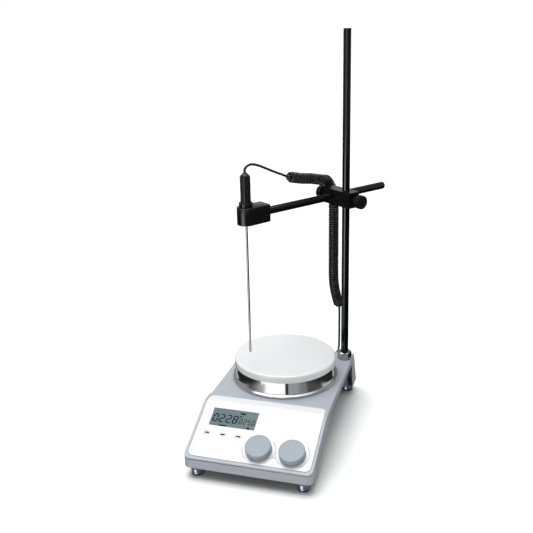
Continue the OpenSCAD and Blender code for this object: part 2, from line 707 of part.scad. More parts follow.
module sensor_probe() color("#a9abad") on_sensor(0) {
    translate([0, 0, tip_z + probe_r]) cylinder(r = probe_r, h = arm_z + clamp_half_h + 12 - tip_z - probe_r);
    translate([0, 0, tip_z + probe_r]) sphere(r = probe_r, $fn = 32);
}

module sensor_collar() color(black) on_sensor(arm_z + clamp_half_h + 0.1) difference() {
    cylinder(r = collar_r, h = collar_t);
    translate([0, 0, -1]) cylinder(r = probe_r, h = collar_t + 2);
}

module sensor_handle() color(black) {
    z0 = arm_z + clamp_half_h + 0.1 + collar_t;
    on_sensor(z0) difference() {
        union() {
            rotate(22.5) cylinder(r = handle_af / 2 / cos(22.5), h = handle_z - z0, $fn = 8);
            translate([0, 0, handle_z - z0]) cylinder(r1 = handle_af / 2, r2 = 3.4, h = 3.4);
            translate([0, 0, handle_z - z0 + 3]) cylinder(r = 2.6, h = handle_top - handle_z - 3);
        }
        translate([0, 0, -1]) cylinder(r = probe_r, h = 7.5);
    }
}

// ---------- Cord ----------

module cord_lead() color(black) tube(lead_route, cord_d, 1, 8);

module cord_coil_top() color(black) tube(coil_top_route, coil_d, 2, 12);

module cord_coil_drop() color(black) tube(coil_drop_route, coil_d, 1, 12);

module cord_tail() color(black) tube(tail_route, cord_d, 1, 8);

housing();
lower_case();
bottom_cover();
cover_screws();
feet();
foot_pads();
foot_screws();
bezel();
overlay();
display_window();
display_module();
control_board();
key_switches();
heat_encoder();
speed_encoder();
status_light();
rear_panel();
power_inlet();
inlet_pins();
rocker_frame();
sensor_socket();
power_board();
power_supply();
board_pillars();
motor_bracket();
motor_housing();
motor_bearings();
plate_skirt();
plate_pillars();
insulation_disc();
heater_ring();
heating_plate();
rod_washer();
rod_nut();
support_rod();
motor_shaft();
magnet_carrier();
drive_magnets();
heat_knob();
heat_shaft();
speed_knob();
speed_shaft();
key_left();
key_middle();
key_right();
power_rocker();
fuse_drawer();
boss_head();
rod_screw();
arm_screw();
cross_rod();
sensor_clamp();
sensor_probe();
sensor_collar();
sensor_handle();
cord_lead();
cord_coil_top();
cord_coil_drop();
cord_tail();
sensor_plug();
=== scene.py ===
"""Heating magnetic stirrer with a support rod, a clamped arm and a sensor on a curly cord.

Every piece is a surface worked out in millimetres on one of the places below, or a copy of its CAD node with
rolled edges. The CAD nodes of the inside stay as they are and only get a finish.
"""

import json

import bmesh
import bpy
import numpy as np
from mathutils import Matrix

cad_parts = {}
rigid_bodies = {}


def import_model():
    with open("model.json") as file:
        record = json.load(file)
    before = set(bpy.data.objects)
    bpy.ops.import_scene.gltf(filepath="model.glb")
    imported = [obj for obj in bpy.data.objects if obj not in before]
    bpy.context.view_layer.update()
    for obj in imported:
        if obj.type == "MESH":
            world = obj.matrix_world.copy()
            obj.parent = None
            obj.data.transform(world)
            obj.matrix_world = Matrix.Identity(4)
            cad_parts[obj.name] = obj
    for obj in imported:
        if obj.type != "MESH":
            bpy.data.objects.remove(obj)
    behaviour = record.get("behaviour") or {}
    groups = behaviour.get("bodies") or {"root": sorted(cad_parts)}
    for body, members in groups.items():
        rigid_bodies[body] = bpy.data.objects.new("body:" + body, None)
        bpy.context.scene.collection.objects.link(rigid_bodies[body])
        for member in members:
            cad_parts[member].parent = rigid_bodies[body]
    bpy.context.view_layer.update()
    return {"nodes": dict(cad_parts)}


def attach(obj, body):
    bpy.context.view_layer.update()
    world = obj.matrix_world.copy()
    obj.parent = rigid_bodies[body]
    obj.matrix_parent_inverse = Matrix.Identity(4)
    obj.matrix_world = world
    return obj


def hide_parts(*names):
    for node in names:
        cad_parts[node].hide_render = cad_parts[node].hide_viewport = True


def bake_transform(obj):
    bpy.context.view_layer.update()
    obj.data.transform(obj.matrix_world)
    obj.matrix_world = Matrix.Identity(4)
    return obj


for leftover in list(bpy.data.objects):
    bpy.data.objects.remove(leftover)
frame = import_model()

MM = 0.001
TAU = 2 * np.pi

# Sizes that several pieces share, in millimetres.
DECK, PLATE_LOW, PLATE_TOP = 62, 82, 92
ROD_XY, ROD_R, ROD_TOP = (67, 70), 5, 509
ARM_Z, ARM_TURN, CROSS_Y = 293, np.radians(54), 19.5
KNOB_X, KNOB_Y = {"heat": 9, "speed": 50.5}, 25
KEY_X, KEY_Y = {"left": -61, "middle": -41, "right": -21}, 39


# ---------- Placing ----------

class Place:
    """A position with its own axes; on() carries points from them to the row frame, in millimetres."""

    def __init__(self, origin, x, y, z):
        self.origin = np.array(origin, float)
        self.axes = np.array([x, y, z], float)

    def on(self, points):
        """origin + x * X + y * Y + z * Z for each point."""
        return self.origin + np.asarray(points, float) @ self.axes

    def at(self, x=0.0, y=0.0, z=0.0):
        """The same axes with the origin moved along them."""
        moved = Place(self.origin, *self.axes)
        moved.origin = self.on([x, y, z])
        return moved


def turned(place, axis_to_z):
    """The place with its Z along one of its other axes, named 'x', 'y' or '-y'."""
    x, y, z = place.axes
    return Place(place.origin, *{"x": (y, z, x), "y": (z, x, y), "-y": (x, z, -y)}[axis_to_z])


BENCH = Place((0, 0, 0), (1, 0, 0), (0, 1, 0), (0, 0, 1))
# The sloping panel: Y runs up the slope and Z out of it.
SLOPE = np.arctan2(36.0, 79.5)
PANEL = Place((0, -175, 27.5), (1, 0, 0), (0, np.cos(SLOPE), np.sin(SLOPE)),
              (0, -np.sin(SLOPE), np.cos(SLOPE)))
# The rear wall: Y runs up the wall and Z out of it.
LEAN = np.arctan2(20.0, 50.0)
REAR = Place((0, 105, 12), (1, 0, 0), (0, -np.sin(LEAN), np.cos(LEAN)), (0, np.cos(LEAN), np.sin(LEAN)))
ROD = BENCH.at(*ROD_XY, 0)
# The boss head: X runs along the cross rod, away from the sensor.
ARM = Place((*ROD_XY, ARM_Z), (np.cos(ARM_TURN), np.sin(ARM_TURN), 0),
            (-np.sin(ARM_TURN), np.cos(ARM_TURN), 0), (0, 0, 1))
SENSOR = Place(ARM.on([-148, CROSS_Y, 0]) * (1, 1, 0), *ARM.axes)


# ---------- Camera ----------

def look(location, azimuth, down, roll, lens, shift):
    """Camera at location that looks along an azimuth from +Y and an angle down, turned by roll. The lens is
    in millimetres before a 36 mm sensor, and the shift is in sensor widths."""
    az, el, ro = np.radians([azimuth, down, roll])
    forward = np.array([-np.sin(az) * np.cos(el), np.cos(az) * np.cos(el), -np.sin(el)])
    right = np.array([np.cos(az), np.sin(az), 0])
    up = np.cross(right, forward)
    x = right * np.cos(ro) + up * np.sin(ro)
    y = up * np.cos(ro) - right * np.sin(ro)
    data = bpy.data.cameras.new("camera")
    data.sensor_width, data.lens = 36, lens
    data.shift_x, data.shift_y = shift
    data.clip_start, data.clip_end = 0.05, 200
    camera = bpy.data.objects.new("camera", data)
    turn = np.eye(4)
    turn[:3, :3] = np.array([x, y, -forward]).T
    turn[:3, 3] = np.array(location) * MM
    camera.matrix_world = Matrix(turn.tolist())
    bpy.context.scene.collection.objects.link(camera)
    bpy.context.scene.camera = camera


look((272.013, -950.678, 562.679), 17.068, 18.724, -1.331, 54.751272, (-0.0040281, -0.0149944))


# ---------- Shader arithmetic ----------

class Value:
    """A socket of a node tree; arithmetic on it adds Math nodes."""

    def __init__(self, nodes, socket):
        self.nodes, self.socket = nodes, socket

    def math(self, operation, *others):
        values = dict(enumerate((self, *others)))
        return self.nodes.node("ShaderNodeMath", {"operation": operation}, values)[0]

    def __add__(self, other):
        return self.math("ADD", other)

    def __sub__(self, other):
        return self.math("SUBTRACT", other)

    def __rsub__(self, other):
        return self.nodes.node("ShaderNodeMath", {"operation": "SUBTRACT"}, {0: other, 1: self})[0]

    def __mul__(self, other):
        return self.math("MULTIPLY", other)

    __radd__, __rmul__ = __add__, __mul__

    def __abs__(self):
        return self.math("ABSOLUTE")

    def step(self, low, high):
        """0 below low and 1 above high, smooth between them; falls instead where low is above high."""
        rise = self.nodes.node("ShaderNodeMapRange", {"interpolation_type": "SMOOTHSTEP"},
                               {0: self, 1: min(low, high), 2: max(low, high)})[0]
        return rise if high > low else 1 - rise


class Outputs:
    """The outputs of a node, as values."""

    def __init__(self, nodes, made):
        self.nodes, self.made = nodes, made

    def __getitem__(self, key):
        return Value(self.nodes, self.made.outputs[key])


class Nodes:
    """A node tree."""

    def __init__(self, tree):
        self.tree = tree

    def node(self, kind, settings, values):
        """Adds a node: its settings first, then the numbers or links of its sockets."""
        made = self.tree.nodes.new(kind)
        for key, value in settings.items():
            setattr(made, key, value)
        for key, value in values.items():
            self.plug(made.inputs[key], value)
        return Outputs(self, made)

    def plug(self, socket, value):
        """Links a value to a socket, or sets the socket to a number or a colour."""
        if isinstance(value, Value):
            self.tree.links.new(value.socket, socket)
        elif isinstance(value, tuple) and len(value) == 3 and socket.type == "RGBA":
            socket.default_value = (*value, 1)
        else:
            socket.default_value = value

    def parts(self, vector):
        """The three parts of a vector."""
        out = self.node("ShaderNodeSeparateXYZ", {}, {0: vector})
        return out[0], out[1], out[2]


SOCKETS = {
    "base_color": "Base Color", "roughness": "Roughness", "metallic": "Metallic", "normal": "Normal",
    "coat": "Coat Weight", "coat_roughness": "Coat Roughness", "specular": "Specular IOR Level",
}


class Finish(Nodes):
    """A material with one Principled shader whose constant values are set on its own sockets."""

    def __init__(self, name, **sockets):
        self.material = bpy.data.materials.new(name)
        self.material.use_nodes = True
        super().__init__(self.material.node_tree)
        self.shader = self.tree.nodes["Principled BSDF"]
        self.feed(**sockets)

    def feed(self, **sockets):
        """Sets or links the shader's sockets, by their names in SOCKETS."""
        for key, value in sockets.items():
            self.plug(self.shader.inputs[SOCKETS[key]], value)
        return self

    def place(self):
        """Object coordinates, in metres."""
        return self.node("ShaderNodeTexCoord", {}, {})["Object"]

    def stretched(self, scale):
        """Object coordinates, scaled along each axis."""
        return self.node("ShaderNodeMapping", {"vector_type": "POINT"}, {
            "Vector": self.place(), "Scale": scale})[0]

    def noise(self, scale, detail=3.0, rough=0.5, vector=None):
        """Noise from 0 to 1; scale is in features for each metre."""
        return self.node("ShaderNodeTexNoise", {}, {
            "Vector": vector or self.place(), "Scale": scale, "Detail": detail, "Roughness": rough})[0]

    def cells(self, scale):
        """Distance to the nearest point of a scattering, from 0."""
        return self.node("ShaderNodeTexVoronoi", {"feature": "F1"}, {
            "Vector": self.place(), "Scale": scale})[0]

    def mix(self, mask, first, second):
        """first where the mask is 0 and second where it is 1."""
        return self.node("ShaderNodeMix", {"data_type": "RGBA"}, {0: mask, 6: first, 7: second})[2]

    def bump(self, height, depth):
        """A bump of that depth in metres for a height of 1."""
        return self.node("ShaderNodeBump", {}, {"Strength": 1.0, "Distance": depth, "Height": height})[0]


def shade(colour, factor):
    """A colour made lighter or darker."""
    return tuple(min(1.0, c * factor) for c in colour)


def coated(name, colour, roughness=0.4, grain=900, depth=0.00002, spread=0.06, metallic=0.0, **sockets):
    """Paint or moulded plastic: cloudy tone, uneven gloss and a fine grain."""
    finish = Finish(name, metallic=metallic, **sockets)
    cloud = finish.noise(14, 4.0)
    grit = finish.noise(grain, 2.0)
    tone = finish.mix(cloud.step(0.3, 0.7), shade(colour, 1 - spread), shade(colour, 1 + spread))
    finish.feed(base_color=tone, roughness=roughness + (cloud - 0.5) * 0.12 + (grit - 0.5) * 0.08,
                normal=finish.bump(grit, depth))
    return finish.material


def brushed(name, colour, roughness, scale):
    """Metal with fine lines; scale is the lines' density along each axis."""
    depth, spread = 0.000012, 0.12
    finish = Finish(name, metallic=1.0)
    lines = finish.noise(1.0, 3.0, 0.6, finish.stretched(scale))
    blur = finish.noise(30, 3.0)
    tone = finish.mix(lines, shade(colour, 1 - spread), shade(colour, 1 + spread))
    finish.feed(base_color=tone, roughness=roughness + (lines - 0.5) * 0.15 + (blur - 0.5) * 0.1,
                normal=finish.bump(lines, depth))
    return finish.material


def printed_overlay():
    """White film with printed arcs round the knobs, bars between them and pale marks under the keys. Up at
    the crest its colour is painted lighter, as painted light against the shade there.
    """
    finish = Finish("printed_overlay", coat=0.25, coat_roughness=0.12)
    along = finish.node("ShaderNodeMapping", {"vector_type": "TEXTURE"}, {
        "Vector": finish.place(), "Location": tuple(PANEL.origin * MM), "Rotation": (SLOPE, 0, 0)})[0]
    x, y, _ = finish.parts(along)
    ink, arc_radius = None, 20.2
    # Where each knob's two arcs start and end, in radians from the panel's X.
    arcs = {"heat": ((-0.55, 0.75), (3.1, 3.95)), "speed": ((-0.9, 0.7), (3.05, 4.05))}
    for word, spans in arcs.items():
        dx, dy = x - KNOB_X[word] * MM, y - KNOB_Y * MM
        radius = (dx * dx + dy * dy).math("SQRT")
        ring = abs(radius - arc_radius * MM).step(0.9 * MM, 0.5 * MM)
        turn = dy.math("ARCTAN2", dx)
        for low, high in spans:
            middle, half = (low + high) / 2, (high - low) / 2
            gap = abs((turn - middle).math("WRAP", np.pi, -np.pi))
            mark = ring * gap.step(half, half - 0.03)
            ink = mark if ink is None else ink.math("MAXIMUM", mark)

    def bar(cx, cy, width, height):
        """1 on a rectangle about cx, cy, with edges 0.2 mm soft."""
        return (abs(x - cx * MM).step((width / 2 + 0.1) * MM, (width / 2 - 0.1) * MM)
                * abs(y - cy * MM).step((height / 2 + 0.1) * MM, (height / 2 - 0.1) * MM))

    between_knobs = [(29.5, 11.0, 5.5, 1.0), (29.5, 7.9, 7.5, 1.0)]
    under_keys = [(KEY_X[word], KEY_Y - 5, width, 1.1)
                  for word, width in (("left", 8), ("middle", 5.5), ("right", 8))]
    for caption in between_knobs + under_keys:
        ink = ink.math("MAXIMUM", bar(*caption) * 0.6)
    cloud = finish.noise(9, 3.0)
    grit = finish.noise(2500, 1.0)
    # The film's tone is random cloud plus painted light: the height mask makes it lighter up at the crest, as
    # painted light against the shade there.
    high = finish.parts(finish.place())[2].step(0.056, 0.0635)
    film = finish.mix(cloud * 0.3 + high * 0.7, (0.625, 0.633, 0.645), (0.74, 0.747, 0.755))
    finish.feed(base_color=finish.mix(ink * 0.85, film, (0.30, 0.32, 0.35)),
                roughness=0.34 + (grit - 0.5) * 0.1, normal=finish.bump(grit, 0.000008))
    return finish.material


def polished():
    """Polished steel with a faint haze and the faintest turning lines."""
    finish = Finish("polished_steel", metallic=1.0)
    haze = finish.noise(25, 4.0)
    x, y, z = finish.parts(finish.place())
    lines = finish.noise(1.0, 2.0, 0.5, finish.node("ShaderNodeCombineXYZ", {}, {
        0: (x * x + y * y).math("SQRT") * 2500, 2: z * 2500})[0])
    finish.feed(base_color=finish.mix(haze, (0.72, 0.73, 0.74), (0.86, 0.87, 0.88)),
                roughness=0.07 + (haze - 0.4) * 0.08, normal=finish.bump(lines, 0.000002))
    return finish.material


def glazed():
    """White glaze, thinner and a little darker in specks, over a ceramic plate."""
    finish = Finish("white_glaze", coat=0.5, coat_roughness=0.06)
    specks = finish.cells(900)
    cloud = finish.noise(18, 4.0)
    body = finish.mix(cloud, (0.74, 0.75, 0.765), (0.78, 0.79, 0.80))
    finish.feed(base_color=finish.mix(specks.step(0.09, 0.02) * 0.25, body, (0.6, 0.58, 0.54)),
                roughness=0.22 + (cloud - 0.5) * 0.1, normal=finish.bump(finish.noise(260, 2.0), 0.00001))
    return finish.material


def display_glass():
    """Grey-green liquid crystal under a clear window, paler to one side, with a fine grid of cells."""
    finish = Finish("display_glass", specular=0.12, roughness=0.35)
    x, y, _ = finish.parts(finish.place())
    fade = (x + 0.0336) * 14 + 0.5
    grid = ((x * 3500).math("SINE") * (y * 3500).math("SINE")).step(0.55, 0.95)
    tone = finish.mix(fade.step(0.0, 1.0), (0.098, 0.145, 0.148), (0.118, 0.168, 0.170))
    finish.feed(base_color=finish.mix(grid * 0.18, tone, (0.1, 0.15, 0.15)),
                normal=finish.bump(finish.noise(120, 1.0), 0.000004))
    return finish.material


def corded():
    """Soft black jacket with a faint dusty bloom."""
    finish = Finish("cord_jacket", specular=0.5)
    bloom = finish.noise(160, 3.0)
    grit = finish.noise(3000, 2.0)
    finish.feed(base_color=finish.mix(bloom, (0.012, 0.012, 0.014), (0.02, 0.02, 0.023)),
                roughness=0.27 + (bloom - 0.5) * 0.1, normal=finish.bump(grit, 0.00001))
    return finish.material


FINISH = {
    "shell": coated("shell_paint", (0.375, 0.405, 0.440), 0.38, 1500, 0.000018, 0.03, specular=0.35),
    "slate": coated("slate_paint", (0.15, 0.18, 0.21), 0.42, 1200, 0.00002, 0.08),
    "overlay": printed_overlay(),
    "display": display_glass(),
    "segment": coated("display_segment", (0.006, 0.009, 0.030), 0.5, 2000, 0.000004, 0.1, specular=0.05),
    "ink": coated("black_print", (0.008, 0.008, 0.009), 0.5, 2500, 0.000006, 0.1, specular=0.1),
    "knob": coated("knob_plastic", (0.31, 0.35, 0.39), 0.5, 2200, 0.000016, 0.025, specular=0.3),
    "key": coated("key_plastic", (0.70, 0.71, 0.72), 0.38, 2000, 0.00001, 0.015),
    "lens": coated("light_lens", (0.5, 0.52, 0.54), 0.2, 1500, 0.00001, 0.05),
    "rod": coated("black_gloss", (0.0025, 0.0025, 0.003), 0.12, 900, 0.000002, 0.15, specular=0.5),
    "cast": coated("black_satin", (0.005, 0.005, 0.006), 0.27, 1400, 0.000012, 0.15, specular=0.5),
    "plastic": coated("black_plastic", (0.006, 0.006, 0.008), 0.3, 1800, 0.000015, 0.15, specular=0.4),
    "foot": coated("foot_plastic", (0.33, 0.39, 0.47), 0.24, 1500, 0.00001, 0.06, metallic=0.6),
    "rubber": coated("rubber", (0.018, 0.018, 0.019), 0.75, 1800, 0.00006, 0.2),
    "chrome": polished(),
    "glaze": glazed(),
    "steel": brushed("turned_steel", (0.42, 0.415, 0.405), 0.22, (900, 900, 6000)),
    "drawn": brushed("drawn_steel", (0.42, 0.425, 0.43), 0.24, (4000, 4000, 60)),
    "alloy": brushed("satin_alloy", (0.56, 0.58, 0.60), 0.34, (1500, 1500, 5000)),
    "boss": coated("boss_paint", (0.24, 0.27, 0.30), 0.34, 1500, 0.00001, 0.06, metallic=0.3),
    "brass": brushed("contact_brass", (0.70, 0.62, 0.42), 0.26, (3000, 3000, 3000)),
    "board": coated("circuit_board", (0.02, 0.12, 0.06), 0.4, 1500, 0.00002, 0.2),
    "ceramic": coated("bare_ceramic", (0.66, 0.64, 0.58), 0.7, 1600, 0.00005, 0.1),
    "mica": coated("heater_mica", (0.33, 0.24, 0.14), 0.5, 700, 0.00005, 0.3),
    "laminate": coated("motor_laminations", (0.10, 0.105, 0.11), 0.45, 2500, 0.00003, 0.2, metallic=0.5),
    "magnet": brushed("nickel_plate", (0.5, 0.49, 0.46), 0.22, (900, 900, 900)),
    "cord": corded(),
}


# ---------- Meshes ----------

def shown(name, parts, finish, body, stands_for=(), crease=35):
    """One piece from parts of (points in millimetres, faces), smooth but for edges past the crease angle."""
    points, faces, start = [], [], 0
    for part_points, part_faces in parts:
        points.append(np.asarray(part_points, float).reshape(-1, 3))
        faces += [[start + i for i in face] for face in part_faces]
        start += len(points[-1])
    mesh = bpy.data.meshes.new(name)
    mesh.from_pydata((np.concatenate(points) * MM).tolist(), [], faces)
    return settled(name, mesh, finish, body, stands_for, crease)


def settled(name, mesh, finish, body, stands_for, crease):
    """Gives a mesh its finish and shading, links it as a piece and rides it on its body."""
    mesh.materials.clear()
    mesh.materials.append(FINISH[finish])
    mesh.shade_smooth()
    mesh.set_sharp_from_angle(angle=np.radians(crease))
    made = bpy.data.objects.new(name, mesh)
    bpy.context.scene.collection.objects.link(made)
    if body:
        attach(made, body)
    if stands_for:
        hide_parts(*stands_for)
    return made


def skin(rings, caps=True):
    """Quads over rings of shape (m, n, 3), closed round each ring: one for each point and the next along and
    round. Caps are flat faces on the first ring and the last."""
    rings = np.asarray(rings, float)
    m, n = rings.shape[:2]
    index = np.arange(m * n).reshape(m, n)
    beside = np.roll(index, -1, axis=1)
    quads = np.stack([index[:-1], beside[:-1], beside[1:], index[1:]], axis=-1).reshape(-1, 4).tolist()
    if caps:
        quads += [index[0][::-1].tolist(), index[-1].tolist()]
    return rings.reshape(-1, 3), quads


def turned_solid(profile, place, n=64, swell=None):
    """A profile of (radius, height) turned about Z: (r cos a, r sin a, h). swell(angle, height) scales r, for
    flutes and flats."""
    profile = np.asarray(profile, float)
    angle = np.linspace(0, TAU, n, endpoint=False)
    radius = np.repeat(profile[:, :1], n, axis=1)
    if swell is not None:
        radius = radius * swell(angle[None, :], profile[:, 1:2])
    height = np.repeat(profile[:, 1:2], n, axis=1)
    return skin(place.on(np.stack([radius * np.cos(angle), radius * np.sin(angle), height], -1)))


def turned_ring(profile, place, n=64):
    """A closed profile of (radius, height) turned about Z, such as a washer or a lip: the turned solid
    without its caps, and with quads from its last ring back to its first."""
    points, quads = turned_solid(profile, place, n)
    index = np.arange(len(profile) * n).reshape(-1, n)
    last, first = index[-1], index[0]
    closing = np.stack([last, np.roll(last, -1), np.roll(first, -1), first], -1)
    return points, quads[:-2] + closing.tolist()


def arc(centre, radius, start, stop, n):
    """Points (r, z) on a circle about centre between two angles in degrees."""
    angle = np.radians(np.linspace(start, stop, n))
    return np.stack([centre[0] + radius * np.cos(angle), centre[1] + radius * np.sin(angle)], -1)


def rounded_bar(radius, low, high, edge):
    """Profile of a plain cylinder with rolled ends."""
    return np.concatenate([[(0.01, low)], arc((radius - edge, low + edge), edge, -90, 0, 4),
                           arc((radius - edge, high - edge), edge, 0, 90, 4), [(0.01, high)]])


def rounded_outline(corners, n=6):
    """Closed outline from corners (x, y, radius), run anticlockwise: each corner becomes an arc of n points
    that is tangent to its sides, about a centre radius / sin(half the corner) along its bisector."""
    spots = np.array([c[:2] for c in corners], float)
    radii = [c[2] for c in corners]
    out = []
    for i, (spot, radius) in enumerate(zip(spots, radii)):
        before, after = spots[i - 1] - spot, spots[(i + 1) % len(spots)] - spot
        before, after = before / np.linalg.norm(before), after / np.linalg.norm(after)
        half = np.arccos(np.clip(before @ after, -1, 1)) / 2
        bisector = (before + after) / np.linalg.norm(before + after)
        centre = spot + bisector * radius / np.sin(half)
        first = spot + before * radius / np.tan(half) - centre
        sweep = np.linspace(0, np.pi - 2 * half, n)
        out.append(centre + np.stack([first[0] * np.cos(sweep) - first[1] * np.sin(sweep),
                                      first[0] * np.sin(sweep) + first[1] * np.cos(sweep)], -1))
    return np.concatenate(out)


def inset(outline, distance):
    """The outline moved inwards along the normal at each point."""
    ahead, behind = np.roll(outline, -1, axis=0), np.roll(outline, 1, axis=0)
    side_a, side_b = outline - behind, ahead - outline
    normal_a = np.stack([-side_a[:, 1], side_a[:, 0]], -1) / np.linalg.norm(side_a, axis=1, keepdims=True)
    normal_b = np.stack([-side_b[:, 1], side_b[:, 0]], -1) / np.linalg.norm(side_b, axis=1, keepdims=True)
    middle = normal_a + normal_b
    middle /= np.sum(middle * normal_a, axis=1, keepdims=True)
    return outline + middle * distance


def pressed(outline, low, high, place, edge_low=0.0, edge_high=0.0, n=4):
    """A prism on an outline whose lower and upper edges roll over by quarter circles."""
    rings = []
    for edge, base, sign in ((edge_low, low, 1), (edge_high, high, -1)):
        turn = np.linspace(0, np.pi / 2, n) if edge else np.array([np.pi / 2])
        levels = [(edge * (1 - np.sin(t)), base + sign * edge * (1 - np.cos(t))) for t in turn]
        rings += levels if sign > 0 else levels[::-1]
    solid = [np.column_stack([inset(outline, d), np.full(len(outline), z)]) for d, z in rings]
    return skin(place.on(np.array(solid)))


def slab(width, depth, radius):
    """Outline of a rectangle with round corners, centred."""
    x, y = width / 2, depth / 2
    return rounded_outline([(-x, -y, radius), (x, -y, radius), (x, y, radius), (-x, y, radius)])


def rolled_copy(name, node, finish, body, width, segments=3, clamp=True):
    """A copy of a CAD node, merged, with every edge sharper than 28 degrees rolled over."""
    mesh = frame["nodes"][node].data.copy()
    mesh.name = name
    work = bmesh.new()
    work.from_mesh(mesh)
    bmesh.ops.remove_doubles(work, verts=work.verts, dist=2e-6)
    bmesh.ops.dissolve_limit(work, angle_limit=np.radians(1.0), verts=work.verts, edges=work.edges)
    work.to_mesh(mesh)
    work.free()
    made = settled(name, mesh, finish, body, [node], 32)
    roll = made.modifiers.new("rolled_edges", "BEVEL")
    roll.width = width * MM
    roll.segments = segments
    roll.limit_method = "ANGLE"
    roll.angle_limit = np.radians(28)
    roll.harden_normals = True
    roll.use_clamp_overlap = clamp
    return made


# ---------- Cords ----------

CORD_D = 3.1
COIL_R = (14.5 - CORD_D) / 2
LEAD = [(-35.8, -38.3, 347), (-35.8, -38.3, 351), (-33.5, -35, 354.5), (-29.5, -29.5, 355.5),
        (-23.5, -21.5, 352.5), (-16.5, -12, 347), (-9, -2, 341), (-2.5, 7, 336), (3, 15, 331.5)]
COIL_TOP = [(3.3, 15.4, 328.9), (15, 32.5, 326), (24.5, 46, 323), (32.5, 60.8, 318.8), (32.9, 77.5, 314.2),
            (31.6, 92.7, 311), (32.8, 105.4, 307.6), (35.7, 112.8, 300.6), (39.3, 113.6, 292),
            (41.4, 112, 284), (41.6, 111.6, 277), (41.6, 111.6, 270)]
COIL_DROP = [(41.6, 111.6, 269.4), (41.6, 111.6, 245), (41.6, 111.6, 220), (41.6, 111.6, 195),
             (41.6, 111.6, 175), (42, 112, 160), (43.5, 113.5, 146), (46, 116, 132), (49, 118.5, 119)]
TAIL = [(49, 118.7, 118.2), (48.5, 121.5, 106), (47.5, 126, 91), (46.5, 131, 76), (45.5, 135.5, 63),
        (45, 137.5, 54), (45, 136.5, 48), (45, 133, 44.5), (45, 127.7, 42)]


def smooth_line(route, n):
    """Catmull-Rom curve through the route: n points on each span, and the last point."""
    p = np.asarray(route, float)
    p = np.concatenate([[2 * p[0] - p[1]], p, [2 * p[-1] - p[-2]]])
    a, b, c, d = (p[i:len(p) - 3 + i, None, :] for i in range(4))
    t = (np.arange(n) / n)[None, :, None]
    line = 0.5 * (2 * b + (c - a) * t + (2 * a - 5 * b + 4 * c - d) * t ** 2
                  + (3 * b - a - 3 * c + d) * t ** 3)
    return np.concatenate([line.reshape(-1, 3), [p[-2]]])


def run_length(line):
    """Distance along a line of points, from its first."""
    return np.concatenate([[0], np.cumsum(np.linalg.norm(np.diff(line, axis=0), axis=1))])


def carried(line, first):
    """Two directions square to the line at each point, carried along it without twist: the last side less its
    part along the heading, and the cross product of heading and side."""
    heading = np.gradient(line, axis=0)
    heading /= np.linalg.norm(heading, axis=1, keepdims=True)
    side = np.zeros_like(line)
    kept = np.array(first, float)
    for i, ahead in enumerate(heading):
        kept = kept - ahead * (kept @ ahead)
        kept = kept / np.linalg.norm(kept)
        side[i] = kept
    return side, np.cross(heading, side)


def helix(route, pitch, phase, grow=0.0, shrink=0.0, start_r=0.0, end_r=0.0, per_turn=20):
    """Line wound round a route: centre + radius * (cos turn * side + sin turn * other), where the turn grows
    by a full circle for each pitch. pitch gives distances and the pitches there. The radius grows from
    start_r over the first grow millimetres and shrinks to end_r over the last shrink millimetres. Returns
    the line and the phase at its end."""
    axis = smooth_line(route, 40)
    s = run_length(axis)
    rate = TAU / np.interp(s, *pitch)
    angle = np.concatenate([[0], np.cumsum((rate[1:] + rate[:-1]) / 2 * np.diff(s))])
    count = int(angle[-1] / TAU * per_turn)
    at = np.interp(np.linspace(0, angle[-1], count), angle, s)
    centre = np.stack([np.interp(at, s, axis[:, k]) for k in range(3)], -1)
    level_start = abs(axis[1][2] - axis[0][2]) < 0.5 * s[1]
    side, other = carried(centre, (0, 0, 1) if level_start else (1, 0, 0))
    turn = np.interp(at, s, angle) + phase
    radius = np.full(count, COIL_R)
    if grow:
        radius = start_r + (radius - start_r) * np.clip(at / grow, 0, 1) ** 0.7
    if shrink:
        radius = end_r + (radius - end_r) * np.clip((s[-1] - at) / shrink, 0, 1) ** 0.7
    wound = centre + radius[:, None] * (np.cos(turn)[:, None] * side + np.sin(turn)[:, None] * other)
    return wound, turn[-1]


def cable(name, line, n, node):
    """A round tube along a line, with flat ends: each point + radius * (cos a * side + sin a * other)."""
    side, other = carried(line, (0.31, -0.77, 0.55))
    angle = np.linspace(0, TAU, n, endpoint=False)[None, :, None]
    rings = line[:, None] + CORD_D / 2 * (np.cos(angle) * side[:, None] + np.sin(angle) * other[:, None])
    return shown(name, [skin(rings)], "cord", None, [node])


lead_line = smooth_line(LEAD, 10)
top_line, top_phase = helix([LEAD[-1]] + COIL_TOP[1:], ((0, 20, 110, 140), (4.2, 4.3, 4.0, 3.5)), 0.0,
                            grow=5, start_r=0.6)
drop_line, _ = helix([COIL_TOP[-1]] + COIL_DROP[1:], ((0, 45, 155), (3.6, 3.4, 3.2)), top_phase, shrink=5,
                     end_r=0.3)
drop_line = drop_line[1:]
tail_line = np.concatenate([drop_line[-1:], smooth_line(TAIL, 12)])

lead = cable("lead_cable", lead_line, 12, "cord_lead")
top = cable("coil_top_cable", top_line, 10, "cord_coil_top")
drop = cable("coil_drop_cable", drop_line, 10, "cord_coil_drop")
tail = cable("tail_cable", tail_line, 12, "cord_tail")


def crossing(made, line):
    """Bakes a stretch of cord's place into its mesh."""
    tuple(line[0] * MM)
    (line * MM).tolist()
    tuple(line[0] * MM)
    tuple(line[-1] * MM)
    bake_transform(made)


# ---------- Plug of the sensor ----------

